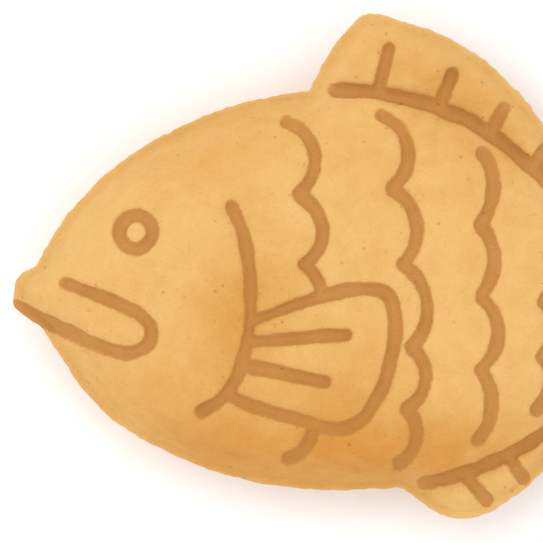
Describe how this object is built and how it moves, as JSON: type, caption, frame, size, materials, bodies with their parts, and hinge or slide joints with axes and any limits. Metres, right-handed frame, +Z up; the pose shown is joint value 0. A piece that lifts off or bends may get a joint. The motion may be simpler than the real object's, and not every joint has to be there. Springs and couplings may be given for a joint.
{
  "type": "taiyaki",
  "caption": "Fish-shaped griddle cake lying flat, its faces moulded with scales, fins, gill, mouth and ring eye, and a thin seam round its edge.",
  "frame": {"origin": "centre of the cake's outline in plan, at the level of the surface that it lies on", "axes": "+X from the snout to the tail along the longest extent, +Y from the belly to the back, +Z up through the thickness, the shortest extent"},
  "size_m": [0.144, 0.0886, 0.028],
  "materials": {
    "baked_crust": "matt golden-brown baked crust, darker in the grooves"
  },
  "bodies": {
    "root": {"taiyaki": "baked_crust"}
  },
  "joints": []
}
